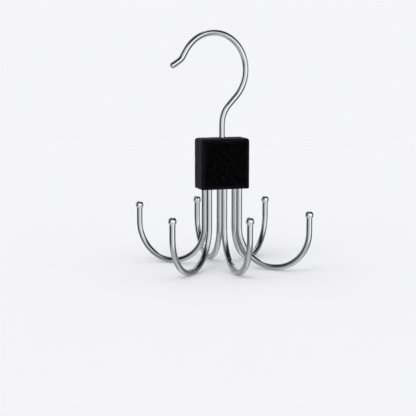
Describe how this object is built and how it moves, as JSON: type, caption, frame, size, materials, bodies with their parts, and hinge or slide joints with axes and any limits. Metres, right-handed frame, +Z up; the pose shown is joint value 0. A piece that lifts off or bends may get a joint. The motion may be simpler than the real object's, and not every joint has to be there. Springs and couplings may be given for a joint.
{
  "type": "rotating closet hook",
  "caption": "Rotating closet hook: a swan-neck hanger hook that swivels in a black flocked block, with ball-tipped J-hooks of bent wire fanned out below it.",
  "frame": {"origin": "on the swivel axis, at the height of the ground that the six J-hooks stand on", "axes": "+Z up along the swivel axis, +X along the block's wide face, -Y towards the block's front"},
  "size_m": [0.0986, 0.1174, 0.1588],
  "materials": {
    "chromed_wire": "bright drawn wire, chrome plated",
    "polished_ball": "polished, chrome plated",
    "black_flock": "short black flock on moulded ABS",
    "black_nylon": "moulded, satin",
    "white_nylon": "moulded, satin",
    "plain_steel": "zinc plated"
  },
  "bodies": {
    "block": {"block_cover": "black_flock", "wire_carrier": "black_nylon", "swivel_bush": "white_nylon", "thrust_washer": "plain_steel", "carrier_screw_left": "plain_steel", "carrier_screw_right": "plain_steel", "j_hook_front_left": "chromed_wire", "j_hook_front_middle": "chromed_wire", "j_hook_front_right": "chromed_wire", "j_hook_back_left": "chromed_wire", "j_hook_back_middle": "chromed_wire", "j_hook_back_right": "chromed_wire", "ball_tip_front_left": "polished_ball", "ball_tip_front_middle": "polished_ball", "ball_tip_front_right": "polished_ball", "ball_tip_back_left": "polished_ball", "ball_tip_back_middle": "polished_ball", "ball_tip_back_right": "polished_ball"},
    "hook": {"hanger_hook": "chromed_wire", "swivel_collar": "plain_steel"}
  },
  "joints": [
    {"name": "hook_swivel", "type": "hinge", "parent": "block", "child": "hook", "pos_m": [0, 0, 0.0815], "axis": [0, 0, 1], "continuous": true}
  ]
}
